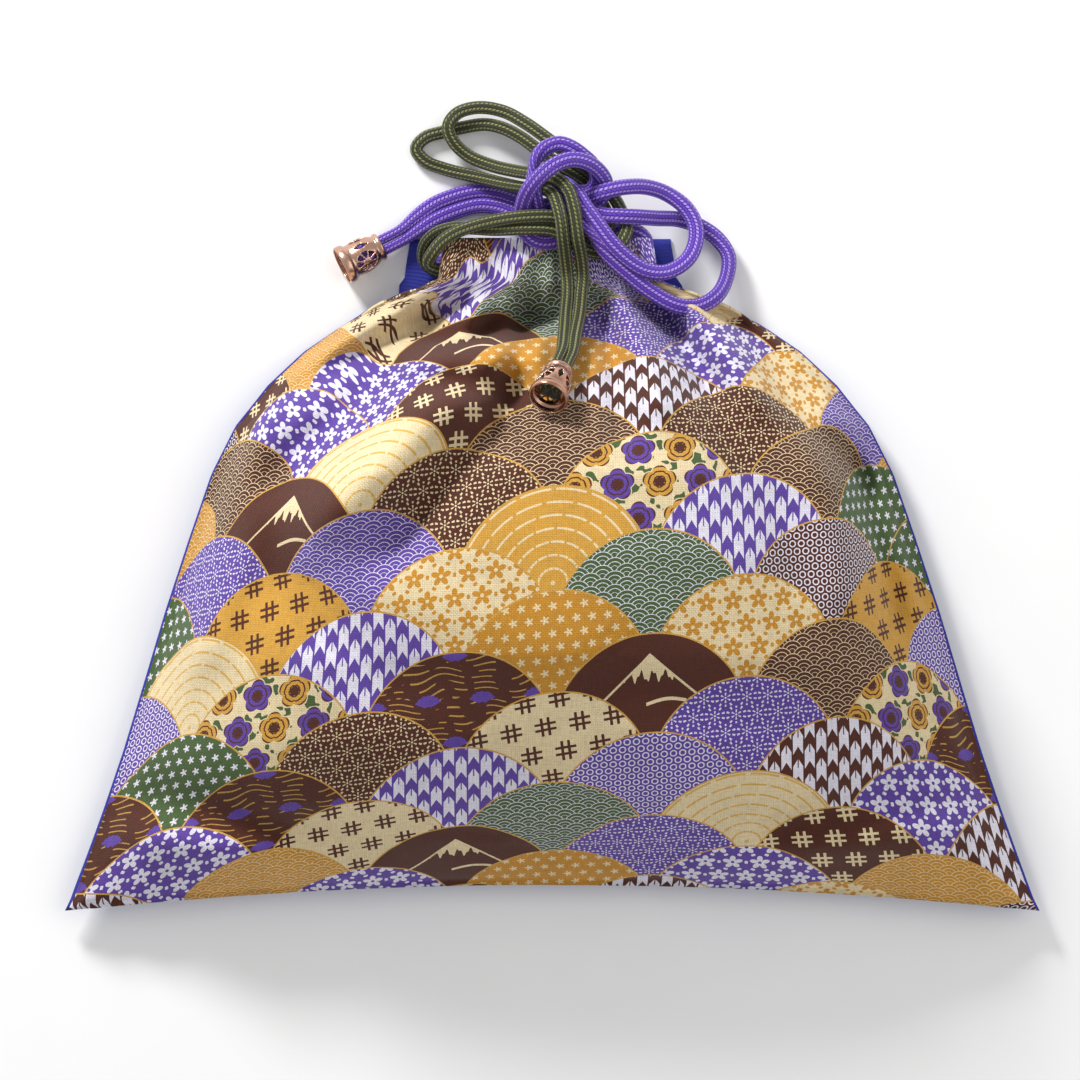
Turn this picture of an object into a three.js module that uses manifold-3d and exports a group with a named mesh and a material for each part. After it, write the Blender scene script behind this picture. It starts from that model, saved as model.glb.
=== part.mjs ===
// A kinchaku: a drawstring pouch of printed cotton, lying on its back, drawn shut and tied in a bow.
// Millimetres, +Z up. The origin is under the middle of the cloth, and the neck points along +Y.
import * as THREE from "three";
import { mergeVertices } from "three/addons/utils/BufferGeometryUtils.js";
import Module from "manifold-3d";

const wasm = await Module();
wasm.setup();

// Cloth
const OUTER_CLOTH = 0.8;
const LINING_CLOTH = 0.5;
const GAP = 0.3;
const SEAM_STACK = 2 * OUTER_CLOTH + 2 * LINING_CLOTH + 3 * GAP;
const SEAM_HEIGHT = 9;
const FLANGE = 0.03; // share of the half width that stays flat along the side seams
const STEEPEST = 2; // a sloping wall is made taller by up to this much, to keep its thickness

// Neck: a casing for the cords in front of and behind the mouth
const CASING_BOTTOM = 73;
const CASING_TOP = 83;
const CASING_HEIGHT = 3;
const MOUTH_HEIGHT = 5;
const NECK_HEIGHT = 2 * (OUTER_CLOTH + CASING_HEIGHT + LINING_CLOTH) + MOUTH_HEIGHT;
const LINING_INSET = 0.965;
const GATHERS = 7;

// Cords and beads
const CORD_DIAMETER = 2.4;
const CORD_SIDES = 8;
const CORD_STEPS = 80;
const BEAD_LENGTH = 11.3;
const BEAD_WALL = 0.6;
const RING_RADIUS = 3.55;
const WAIST_RADIUS = 3.5;
const BELLY_RADIUS = 4.4;
const MOUTH_RADIUS = 5;
const BEAD_SIDES = 24;
const ROSETTES = 3;
const ROSETTE_RADIUS = 2.2;
const ROSETTE_HOLES = 5;
const HOLE_RADIUS = 0.75;

// Each row of the cloth, from the bottom seam to the neck's top edge: half width, and how far its
// ends bow down from its middle.
const ROWS = [
  { y: -78, half: 121.5, bow: 6.5 },
  { y: -75, half: 120, bow: 6.5 },
  { y: -71, half: 118.5, bow: 6.4 },
  { y: -64, half: 115.8, bow: 6 },
  { y: -54, half: 112, bow: 5.4 },
  { y: -40, half: 107, bow: 4.6 },
  { y: -24, half: 102, bow: 4 },
  { y: -6, half: 96.5, bow: 3.4 },
  { y: 12, half: 90.5, bow: 3 },
  { y: 28, half: 85, bow: 3 },
  { y: 40, half: 79, bow: 3 },
  { y: 50, half: 71, bow: 3 },
  { y: 58, half: 62, bow: 2.6 },
  { y: 64, half: 52.5, bow: 2 },
  { y: 68.5, half: 43.5, bow: 1.4 },
  { y: 72, half: 32, bow: 0.6 },
  { y: 73, half: 29, bow: 0 },
  { y: 74, half: 27.5, bow: 0 },
  { y: 78, half: 27, bow: 0 },
  { y: 83, half: 26.5, bow: 0 },
  { y: 84, half: 26, bow: 0 },
];
const BOTTOM = ROWS[0].y;

// How far the filled front rises above its seam, up the middle of the cloth.
const CROWN = [
  [-78, 0],
  [-73, 8],
  [-66, 19],
  [-56, 30],
  [-40, 41],
  [-20, 48.5],
  [5, 50.5],
  [25, 47],
  [42, 37],
  [55, 24],
  [64, 13],
  [70, 7],
  [73, 4.6],
  [84, 4.6],
];

const ease = THREE.MathUtils.smoothstep;
const mix = THREE.MathUtils.lerp;

function between(table, at) {
  const next = Math.max(1, table.findIndex((entry) => entry[0] >= at));
  const [low, high] = [table[next - 1], table[next]];
  return mix(low[1], high[1], THREE.MathUtils.clamp((at - low[0]) / (high[0] - low[0]), 0, 1));
}

const HALF_WIDTHS = ROWS.map((row) => [row.y, row.half]);
const BOWS = ROWS.map((row) => [row.y, row.bow]);
const neckShare = (y) => ease(y, 64, CASING_BOTTOM);
const seamHeight = (y) => mix(SEAM_HEIGHT, SEAM_STACK + 0.6, ease(y, 46, 68));

// 0 on the flat flange beside a seam, 1 along the middle.
function dome(u) {
  const inside = Math.min(1, Math.abs(u) / (1 - FLANGE));
  return (1 - inside ** 3) ** 0.8;
}

// The gathers fan out from the casing over the top of the belly.
function gather(u, y) {
  const depth = 0.9 * ease(y, 34, 60) * (1 - ease(y, 64, 72));
  return depth * Math.cos(u * Math.PI * GATHERS) * dome(u);
}

function frontTop(u, y) {
  const belly = seamHeight(y) + between(CROWN, y) * dome(u) + gather(u, y);
  return mix(belly, NECK_HEIGHT, neckShare(y));
}

function backBottom(u, y) {
  const besideSeams = ease(1 - Math.abs(u), 0, 0.24) * ease(y - BOTTOM, 0, 24);
  return (seamHeight(y) - SEAM_STACK) * (1 - mix(besideSeams, 1, neckShare(y)));
}

// How much taller than its thickness a sloping wall has to be. It is 1 where the layers meet.
function lean(u, y) {
  const [du, dy] = [0.01, 0.5];
  const across = (frontTop(u + du, y) - frontTop(u - du, y)) / (2 * du * between(HALF_WIDTHS, y));
  const along = (frontTop(u, y + dy) - frontTop(u, y - dy)) / (2 * dy);
  const slant = Math.min(STEEPEST, Math.hypot(1, across, along)) - 1;
  const awayFromSeam = THREE.MathUtils.clamp((frontTop(u, y) - seamHeight(y)) / 8, 0, 1);
  return 1 + slant * awayFromSeam * (1 - neckShare(y));
}

const inCasing = (y) => ease(y, CASING_BOTTOM, CASING_BOTTOM + 1);
const pastCasing = (y) => ease(y, CASING_TOP, CASING_TOP + 1);
const casingGap = (u, y) => mix(GAP * lean(u, y), CASING_HEIGHT, inCasing(y));
const closedGap = (u, y) => mix(casingGap(u, y), GAP, pastCasing(y));

// The front's under side reaches down over the casing's top edge, as a folded hem does.
const frontUnder = (u, y) =>
  frontTop(u, y) - OUTER_CLOTH * lean(u, y) - casingGap(u, y) + closedGap(u, y);
const frontLiningTop = (u, y) => frontTop(u, y) - OUTER_CLOTH * lean(u, y) - casingGap(u, y);
const frontLiningUnder = (u, y) => frontLiningTop(u, y) - LINING_CLOTH * lean(u, y);
const backHem = (u, y) => (casingGap(0, y) - closedGap(0, y)) * (1 - ease(Math.abs(u), 0.6, 0.7));
const backTop = (u, y) => backBottom(u, y) + OUTER_CLOTH + backHem(u, y);
const backLiningUnder = (u, y) =>
  backBottom(u, y) + OUTER_CLOTH + mix(GAP, CASING_HEIGHT, inCasing(y));
const backLiningTop = (u, y) => backLiningUnder(u, y) + LINING_CLOTH;

// Columns across the cloth, closer together towards the side seams.
function columns(count) {
  const made = [-1];
  for (let i = 0; i <= count; i++) {
    made.push((1 - FLANGE) * Math.sin(((2 * i) / count - 1) * (Math.PI / 2)));
  }
  return [...made, 1];
}

// A layer of cloth: two faces over one grid, closed round its rim.
function layer(count, rows, cloth, upper, lower) {
  const us = columns(count);
  const positions = [];
  for (const height of [upper, lower]) {
    for (const y of rows) {
      for (const u of us) {
        const half = between(HALF_WIDTHS, y) * cloth.inset + cloth.neckExtra * neckShare(y);
        const x = cloth.neckShift * neckShare(y) + u * half;
        const inward = u * cloth.inset;
        positions.push(x, y - between(BOWS, y) * inward * inward, height(inward, y));
      }
    }
  }
  const across = us.length;
  const under = across * rows.length;
  const faces = [];
  const quad = (a, b, c, d) => faces.push(a, b, c, a, c, d);
  for (let j = 0; j < rows.length - 1; j++) {
    for (let i = 0; i < across - 1; i++) {
      const at = j * across + i;
      quad(at, at + 1, at + across + 1, at + across);
      quad(under + at, under + at + across, under + at + across + 1, under + at + 1);
    }
    const left = j * across;
    const right = left + across - 1;
    quad(left, left + across, under + left + across, under + left);
    quad(right, under + right, under + right + across, right + across);
  }
  for (let i = 0; i < across - 1; i++) {
    const top = (rows.length - 1) * across + i;
    quad(i, under + i, under + i + 1, i + 1);
    quad(top, top + 1, under + top + 1, under + top);
  }
  const geometry = new THREE.BufferGeometry();
  geometry.setAttribute("position", new THREE.Float32BufferAttribute(positions, 3));
  geometry.setIndex(faces);
  geometry.computeVertexNormals();
  return geometry;
}

// Cord routes. Both ends of a cord lie side by side in its bead; from there each strand goes up the
// tail, round its loop of the bow, through the knot and into the casing, once in front of the mouth
// and once behind it.
const OLIVE_ROUTE = [
  // tail from the bead to the knot, left strand
  [-2, 45, 50.5],
  [-0.8, 47.8, 47.1],
  [0.45, 50.9, 43.4],
  [1.35, 53.1, 40.8],
  [2.35, 55.5, 37.8],
  [2.9, 59.6, 31],
  [3.3, 64.7, 23.4],
  [3.8, 70, 18.6],
  [3.7, 74.3, 17],
  [3.2, 79, 19],
  [2.6, 84, 22.6],
  [2.2, 88, 23.2],
  [1.4, 91.6, 22.2],
  [0, 94.8, 18.8],
  [-3.2, 96.3, 14.6],
  [-7, 96.6, 10.8],
  // back loop of the bow
  [-11.8, 97.6, 7.8],
  [-19, 99.5, 3.6],
  [-27.1, 101.6, 1.6],
  [-32, 103.6, 1.6],
  [-34.2, 106.6, 1.6],
  [-32, 109.4, 1.6],
  [-27.6, 110.8, 1.6],
  [-22.4, 112, 1.8],
  [-17.1, 112.7, 2.8],
  [-12.6, 111.8, 4.4],
  [-8, 109.4, 6.2],
  [-2.6, 105.4, 8.8],
  // right of the knot, inner strand
  [2.2, 102.1, 9.4],
  [6.6, 99.5, 8.2],
  [10, 96.8, 7.4],
  [12.2, 93.2, 7.6],
  [13.7, 89.8, 9.4],
  [14, 86.6, 12],
  [11.8, 84.4, 14.6],
  [8.4, 84.8, 15.8],
  [4.6, 86.8, 17.8],
  [0.6, 88.9, 19.4],
  [-6.1, 89.2, 19.6],
  [-14.2, 88.2, 18],
  [-20.6, 86.6, 16.8],
  [-24.2, 85.2, 16],
  [-27.6, 83, 15.5],
  [-29.9, 80.2, 14.6],
  [-31, 77.6, 12.2],
  [-28.4, 75.9, 11.5],
  // casing, in front of the mouth
  [-23.6, 75.6, 11.3],
  [-10, 75.6, 11.3],
  [5, 75.6, 11.3],
  [18.8, 75.6, 11.3],
  [21.6, 75.6, 10.2],
  [23.2, 75.6, 6.8],
  [21.6, 75.6, 3.4],
  // casing, behind the mouth
  [18.8, 75.6, 2.3],
  [5, 75.6, 2.3],
  [-10, 75.6, 2.3],
  [-23.6, 75.6, 2.3],
  [-28.6, 75.8, 2.6],
  [-32, 78.2, 4.2],
  [-32, 82.2, 7],
  [-29, 85.4, 9.8],
  [-24, 86.6, 12.4],
  [-20.6, 86.4, 13.8],
  [-14, 86, 16.4],
  [-6.1, 86.2, 18.4],
  [0.6, 85.6, 18.6],
  // right of the knot, outer strand
  [4.6, 83, 18],
  [8.6, 80.8, 16.2],
  [13.2, 80.2, 15.6],
  [16.8, 82.4, 16.1],
  [18.6, 85.9, 14.2],
  [17.6, 90, 9.6],
  [15.6, 94, 8],
  [13, 97.4, 8.2],
  [9.4, 100.8, 9.8],
  [4.6, 104.4, 10.8],
  [-0.8, 108.6, 9.6],
  // front loop of the bow
  [-6.6, 112.8, 7.4],
  [-12.3, 115.9, 5.2],
  [-18.6, 116.9, 4.6],
  [-23.9, 115.4, 4.6],
  [-26.1, 112.3, 4.6],
  [-25, 108.6, 4.4],
  [-21.2, 104.9, 4],
  [-15.2, 102.3, 6],
  [-9.4, 100.8, 10.2],
  [-4, 99.8, 14.8],
  [1.2, 98.6, 18.2],
  // tail from the knot to the bead, right strand
  [4.2, 95.4, 20.8],
  [5.4, 91, 22.4],
  [6.3, 84, 22.4],
  [7.2, 79, 19.2],
  [7.6, 74.3, 17.2],
  [7.2, 70, 18.8],
  [6.7, 64.7, 23.4],
  [5.6, 59, 31.4],
  [4.85, 54.5, 37.8],
  [3.85, 52.1, 40.8],
  [2.95, 49.9, 43.4],
  [1.7, 46.8, 47.1],
  [0.5, 44, 50.5],
];

const VIOLET_ROUTE = [
  // tail from the bead to the knot, upper strand
  [-50, 80, 4.8],
  [-43.5, 83.4, 3.8],
  [-38.2, 86.2, 3],
  [-34, 89.6, 2],
  [-28.6, 93.2, 1.7],
  [-19.1, 96, 1.7],
  [-13.5, 95.6, 2.6],
  [-8.1, 93.8, 4.8],
  [-3, 92.2, 6.2],
  [3, 92.6, 7.8],
  [6, 92.9, 9.8],
  [9.5, 94.4, 13.4],
  // back loop of the bow
  [12.4, 95.4, 15.8],
  [17.1, 96.5, 14.6],
  [23.3, 96.8, 10.4],
  [28.6, 95.2, 7.4],
  [33.3, 91.8, 7.2],
  [35.8, 87.4, 8.4],
  [35.8, 82.8, 10.4],
  [33.6, 78.4, 13],
  [28.6, 75.4, 16],
  [23.3, 75.8, 18],
  [18.8, 78.6, 19.2],
  [14.6, 82.8, 20],
  [11.2, 87.4, 19.8],
  [8, 91.8, 19],
  [5.4, 95.6, 16.8],
  [3, 97.4, 15.2],
  [-0.4, 98.7, 12.4],
  [-2.6, 99, 9.8],
  [-2.4, 98.8, 7.2],
  [0.6, 98.2, 5.8],
  [4, 97, 6.6],
  [7.4, 95.7, 9.8],
  // inner arch over the knot
  [9.8, 96.2, 11],
  [11.2, 99, 12.4],
  [9.8, 102.4, 14.4],
  [7.4, 104.6, 15.8],
  [4.8, 106.4, 16.6],
  [1.6, 107.4, 17],
  [-2.2, 106, 17.6],
  [-4.6, 102.4, 18],
  [-5, 98.6, 18],
  [-4.4, 94.6, 17.4],
  [-3.6, 90.6, 15.8],
  [-2.4, 87.8, 15],
  [0.4, 86.4, 14],
  [3, 86.8, 12.2],
  [5.6, 87.4, 9],
  [9, 87.8, 6],
  [13, 87.6, 5],
  [16.6, 86.8, 4.8],
  // out of the mouth and into the casing, behind the mouth
  [20, 85.4, 4.6],
  [22.8, 82.6, 3.8],
  [21.6, 79.8, 2.8],
  [18.6, 79.2, 2.3],
  [4, 79.2, 2.3],
  [-10, 79.2, 2.3],
  [-23.6, 79.2, 2.3],
  [-26.6, 79.2, 3.4],
  [-28, 79.2, 6.8],
  [-26.6, 79.2, 10.2],
  // casing, in front of the mouth
  [-23.6, 79.2, 11.3],
  [-10, 79.2, 11.3],
  [4, 79.2, 11.3],
  [18.6, 79.2, 11.3],
  [22.4, 80.2, 9.8],
  [23.6, 83.2, 8.4],
  [20.8, 85.8, 8],
  [16, 85.6, 8],
  [12, 85.2, 9.4],
  [9, 85.6, 11.2],
  [6.6, 86, 13],
  [3.4, 84.4, 15.9],
  [-0.6, 82.8, 15.6],
  [-4.2, 83.2, 15.4],
  [-6.9, 85.8, 15.4],
  // outer arch over the knot
  [-7.6, 89.4, 15.8],
  [-7.3, 92.6, 18],
  [-5.8, 96, 20.7],
  [-2.8, 99.4, 21.8],
  [1, 102.2, 21.8],
  [5, 103.4, 20.2],
  [9.3, 102.4, 17.8],
  [12.4, 99.8, 15.2],
  [13.5, 97, 12.6],
  [12.2, 93.8, 11.4],
  [9.8, 92, 9.8],
  [7.4, 92.6, 6.6],
  [4.6, 94, 4.6],
  [1.8, 95, 4.2],
  [-0.2, 95.6, 6.6],
  [0.6, 95.8, 10],
  [3.2, 94.2, 13.4],
  [5.8, 90.8, 15.8],
  [8.2, 87.1, 19.1],
  [10.8, 83.4, 19.1],
  // front loop of the bow
  [13.6, 80, 18.8],
  [19.2, 74.7, 17.6],
  [24.9, 70.3, 16.6],
  [30.7, 67.2, 15.6],
  [36.1, 66.8, 13.4],
  [41, 69.4, 11],
  [43.8, 74.7, 6.4],
  [44.1, 79.8, 4],
  [41.4, 84, 3],
  [36.8, 87.2, 3],
  [31.8, 88.8, 4.4],
  [26, 89, 9.2],
  [21, 89.2, 14],
  [17.3, 89.3, 15.6],
  [13.4, 89.5, 14.6],
  [8.8, 90.6, 12.4],
  [3, 90, 10.2],
  // tail from the knot to the bead, lower strand
  [-3, 89, 8],
  [-8.1, 90.2, 5.2],
  [-13.5, 92, 2.8],
  [-19.1, 92.4, 1.7],
  [-28.1, 89.4, 1.9],
  [-33.4, 86.2, 2.6],
  [-37, 83.8, 3.2],
  [-42.3, 81, 3.8],
  [-48.8, 77.6, 4.8],
];

function cordGeometry(route) {
  const curve = new THREE.CatmullRomCurve3(
    route.map((point) => new THREE.Vector3(...point)),
    false,
    "centripetal",
  );
  const section = new THREE.Shape();
  for (let i = 0; i < CORD_SIDES; i++) {
    const angle = (i / CORD_SIDES) * 2 * Math.PI;
    const x = (CORD_DIAMETER / 2) * Math.cos(angle);
    const y = (CORD_DIAMETER / 2) * Math.sin(angle);
    if (i === 0) {
      section.moveTo(x, y);
    } else {
      section.lineTo(x, y);
    }
  }
  section.closePath();
  const options = { extrudePath: curve, steps: CORD_STEPS, bevelEnabled: false };
  return new THREE.ExtrudeGeometry(section, options);
}

function solidOf(geometry) {
  const bare = geometry.clone();
  bare.deleteAttribute("normal");
  bare.deleteAttribute("uv");
  const merged = mergeVertices(bare, 1e-4);
  const mesh = new wasm.Mesh({
    numProp: 3,
    vertProperties: merged.attributes.position.array,
    triVerts: new Uint32Array(merged.index.array),
  });
  return new wasm.Manifold(mesh);
}

function geometryOf(solid) {
  const mesh = solid.getMesh();
  const geometry = new THREE.BufferGeometry();
  geometry.setAttribute("position", new THREE.Float32BufferAttribute(mesh.vertProperties, 3));
  geometry.setIndex([...mesh.triVerts]);
  geometry.computeVertexNormals();
  return geometry;
}

// A bell of pierced metal along +Z, from its small ring to its mouth.
function beadGeometry() {
  const outside = [
    [RING_RADIUS, 0],
    [RING_RADIUS, 1.2],
    [WAIST_RADIUS, 1.8],
    [BELLY_RADIUS, 4.2],
    [BELLY_RADIUS, 7.8],
    [BELLY_RADIUS - 0.2, 8.8],
    [MOUTH_RADIUS, 9.6],
    [MOUTH_RADIUS, BEAD_LENGTH],
  ];
  const profile = outside.map(([radius, z]) => new THREE.Vector2(radius, z));
  for (const [radius, z] of outside.toReversed()) {
    profile.push(new THREE.Vector2(radius - BEAD_WALL, z));
  }
  profile.push(profile[0].clone());
  const body = new THREE.LatheGeometry(profile, BEAD_SIDES).rotateX(Math.PI / 2);
  let bead = solidOf(body);
  if (bead.volume() < 0) {
    throw new Error("the bead's profile runs the wrong way round");
  }
  const cut = (angle, around, z) => {
    const drill = new THREE.CylinderGeometry(HOLE_RADIUS, HOLE_RADIUS, 4, 6);
    drill.rotateZ(Math.PI / 2);
    drill.translate(BELLY_RADIUS, around, z);
    drill.rotateZ(angle);
    bead = bead.subtract(solidOf(drill));
  };
  for (let i = 0; i < ROSETTES; i++) {
    const facing = ((i + 0.25) / ROSETTES) * 2 * Math.PI;
    for (let k = 0; k < ROSETTE_HOLES; k++) {
      const turn = (k / ROSETTE_HOLES) * 2 * Math.PI;
      const [around, along] = [ROSETTE_RADIUS * Math.cos(turn), ROSETTE_RADIUS * Math.sin(turn)];
      cut(facing, around, 5.6 + along);
    }
  }
  return geometryOf(bead);
}

function fabric(colour) {
  return new THREE.MeshStandardMaterial({ color: colour, roughness: 0.9, metalness: 0 });
}

const print = fabric(0x9a7c5e);
const blue = fabric(0x323796);
const oliveNylon = fabric(0x3a3a18);
const violetNylon = fabric(0x6a40c8);
const copper = new THREE.MeshStandardMaterial({ color: 0xbe8c73, roughness: 0.25, metalness: 1 });

function named(name, geometry, material) {
  const mesh = new THREE.Mesh(geometry, material);
  mesh.name = name;
  return mesh;
}

function placedBead(name, ring, mouth) {
  const bead = named(name, beadGeometry(), copper);
  const from = new THREE.Vector3(...ring);
  const along = new THREE.Vector3(...mouth).sub(from).normalize();
  bead.position.copy(from);
  bead.quaternion.setFromUnitVectors(new THREE.Vector3(0, 0, 1), along);
  return bead;
}

const outerRows = ROWS.map((row) => row.y);
const liningRows = outerRows.filter((y) => y >= BOTTOM + 3 && y <= CASING_TOP + 1);
// The back cloth shows past both ends of the neck, and the lining stops short of them, which leaves
// the slits for the cords.
const front = { inset: 1, neckExtra: 0, neckShift: -1 };
const back = { inset: 1, neckExtra: 6.5, neckShift: -3 };
const lining = { inset: LINING_INSET, neckExtra: -6.4, neckShift: -2.5 };

const pouch = new THREE.Group();
pouch.add(
  named("front_panel", layer(34, outerRows, front, frontTop, frontUnder), print),
  named("back_panel", layer(24, outerRows, back, backTop, backBottom), blue),
  named("front_lining", layer(22, liningRows, lining, frontLiningTop, frontLiningUnder), blue),
  named("back_lining", layer(22, liningRows, lining, backLiningTop, backLiningUnder), blue),
  named("olive_cord", cordGeometry(OLIVE_ROUTE), oliveNylon),
  named("violet_cord", cordGeometry(VIOLET_ROUTE), violetNylon),
  placedBead("olive_bead", [1.7, 50.4, 43.4], [-1.2, 43.4, 51.8]),
  placedBead("violet_bead", [-42.9, 82.2, 3.8], [-52.9, 77, 5.35]),
);

export default pouch;
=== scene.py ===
"""A kinchaku: a drawstring pouch of printed cotton, lying filled on its back and tied in a bow."""

import math

import bmesh
import bpy
import numpy as np
from mathutils import Matrix, Vector


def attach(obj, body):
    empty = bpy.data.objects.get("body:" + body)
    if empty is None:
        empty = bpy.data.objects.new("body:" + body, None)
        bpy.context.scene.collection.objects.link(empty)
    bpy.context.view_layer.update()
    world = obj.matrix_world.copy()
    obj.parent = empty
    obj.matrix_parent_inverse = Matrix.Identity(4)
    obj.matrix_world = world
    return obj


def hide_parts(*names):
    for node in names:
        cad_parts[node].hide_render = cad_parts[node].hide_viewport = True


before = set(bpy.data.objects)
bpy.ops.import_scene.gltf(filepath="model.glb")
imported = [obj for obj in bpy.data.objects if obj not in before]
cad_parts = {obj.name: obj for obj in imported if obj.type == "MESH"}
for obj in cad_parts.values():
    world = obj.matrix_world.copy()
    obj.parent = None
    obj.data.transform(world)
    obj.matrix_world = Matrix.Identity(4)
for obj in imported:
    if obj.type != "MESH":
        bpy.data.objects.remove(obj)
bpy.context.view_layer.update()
MM = 0.001

# ---------------------------------------------------------------- camera

VIEW_CENTRE = Vector((-0.0031, 0.0084, 0.015))
VIEW_WIDTH = 0.27
VIEW_DISTANCE = 3.0
SENSOR_WIDTH = 36

camera = bpy.data.objects.new("camera", bpy.data.cameras.new("camera"))
bpy.context.scene.collection.objects.link(camera)
camera.location = VIEW_CENTRE + Vector((0, 0, VIEW_DISTANCE))
camera.data.sensor_width = SENSOR_WIDTH
camera.data.lens = SENSOR_WIDTH * VIEW_DISTANCE / VIEW_WIDTH
camera.data.clip_end = 20
bpy.context.scene.camera = camera
bpy.context.scene.view_settings.view_transform = "Standard"


# ---------------------------------------------------------------- helpers


def add_mesh(name, bm):
    mesh = bpy.data.meshes.new(name)
    bm.to_mesh(mesh)
    bm.free()
    mesh.polygons.foreach_set("use_smooth", [True] * len(mesh.polygons))
    obj = bpy.data.objects.new(name, mesh)
    bpy.context.scene.collection.objects.link(obj)
    return obj


def ease(x, low, high):
    t = np.clip((np.asarray(x, float) - low) / (high - low), 0, 1)
    return t * t * (3 - 2 * t)


def mix(a, b, share):
    return a + (b - a) * share


# ---------------------------------------------------------------- cords

# Each route runs from one end in the bead, up a tail, round a loop of the bow, through the knot and
# the casing, and back the same way to the other end in the bead. Millimetres.
OLIVE_ROUTE = [
    # tail from the bead to the knot, left strand
    (-2, 45, 50.5), (-0.8, 47.8, 47.1), (0.45, 50.9, 43.4), (1.35, 53.1, 40.8),
    (2.35, 55.5, 37.8), (2.9, 59.6, 31), (3.3, 64.7, 23.4), (3.8, 70, 18.6), (3.7, 74.3, 17),
    (3.2, 79, 19), (2.6, 84, 22.6), (2.2, 88, 23.2), (1.4, 91.6, 22.2), (0, 94.8, 18.8),
    (-3.2, 96.3, 14.6), (-7, 96.6, 10.8),
    # back loop of the bow
    (-11.8, 97.6, 7.8), (-19, 99.5, 3.6), (-27.1, 101.6, 1.6), (-32, 103.6, 1.6),
    (-34.2, 106.6, 1.6), (-32, 109.4, 1.6), (-27.6, 110.8, 1.6), (-22.4, 112, 1.8),
    (-17.1, 112.7, 2.8), (-12.6, 111.8, 4.4), (-8, 109.4, 6.2), (-2.6, 105.4, 8.8),
    # right of the knot, inner strand
    (2.2, 102.1, 9.4), (6.6, 99.5, 8.2), (10, 96.8, 7.4), (12.2, 93.2, 7.6), (13.7, 89.8, 9.4),
    (14, 86.6, 12), (11.8, 84.4, 14.6), (8.4, 84.8, 15.8), (4.6, 86.8, 17.8), (0.6, 88.9, 19.4),
    (-6.1, 89.2, 19.6), (-14.2, 88.2, 18), (-20.6, 86.6, 16.8), (-24.2, 85.2, 16),
    (-27.6, 83, 15.5), (-29.9, 80.2, 14.6), (-31, 77.6, 12.2), (-28.4, 75.9, 11.5),
    # casing, in front of the mouth
    (-23.6, 75.6, 11.3), (-10, 75.6, 11.3), (5, 75.6, 11.3), (18.8, 75.6, 11.3),
    (21.6, 75.6, 10.2), (23.2, 75.6, 6.8), (21.6, 75.6, 3.4),
    # casing, behind the mouth
    (18.8, 75.6, 2.3), (5, 75.6, 2.3), (-10, 75.6, 2.3), (-23.6, 75.6, 2.3), (-28.6, 75.8, 2.6),
    (-32, 78.2, 4.2), (-32, 82.2, 7), (-29, 85.4, 9.8), (-24, 86.6, 12.4), (-20.6, 86.4, 13.8),
    (-14, 86, 16.4), (-6.1, 86.2, 18.4), (0.6, 85.6, 18.6),
    # right of the knot, outer strand
    (4.6, 83, 18), (8.6, 80.8, 16.2), (13.2, 80.2, 15.6), (16.8, 82.4, 16.1),
    (18.6, 85.9, 14.2), (17.6, 90, 9.6), (15.6, 94, 8), (13, 97.4, 8.2), (9.4, 100.8, 9.8),
    (4.6, 104.4, 10.8), (-0.8, 108.6, 9.6),
    # front loop of the bow
    (-6.6, 112.8, 7.4), (-12.3, 115.9, 5.2), (-18.6, 116.9, 4.6), (-23.9, 115.4, 4.6),
    (-26.1, 112.3, 4.6), (-25, 108.6, 4.4), (-21.2, 104.9, 4), (-15.2, 102.3, 6),
    (-9.4, 100.8, 10.2), (-4, 99.8, 14.8), (1.2, 98.6, 18.2),
    # tail from the knot to the bead, right strand
    (4.2, 95.4, 20.8), (5.4, 91, 22.4), (6.3, 84, 22.4), (7.2, 79, 19.2), (7.6, 74.3, 17.2),
    (7.2, 70, 18.8), (6.7, 64.7, 23.4), (5.6, 59, 31.4), (4.85, 54.5, 37.8), (3.85, 52.1, 40.8),
    (2.95, 49.9, 43.4), (1.7, 46.8, 47.1), (0.5, 44, 50.5),
]

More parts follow.
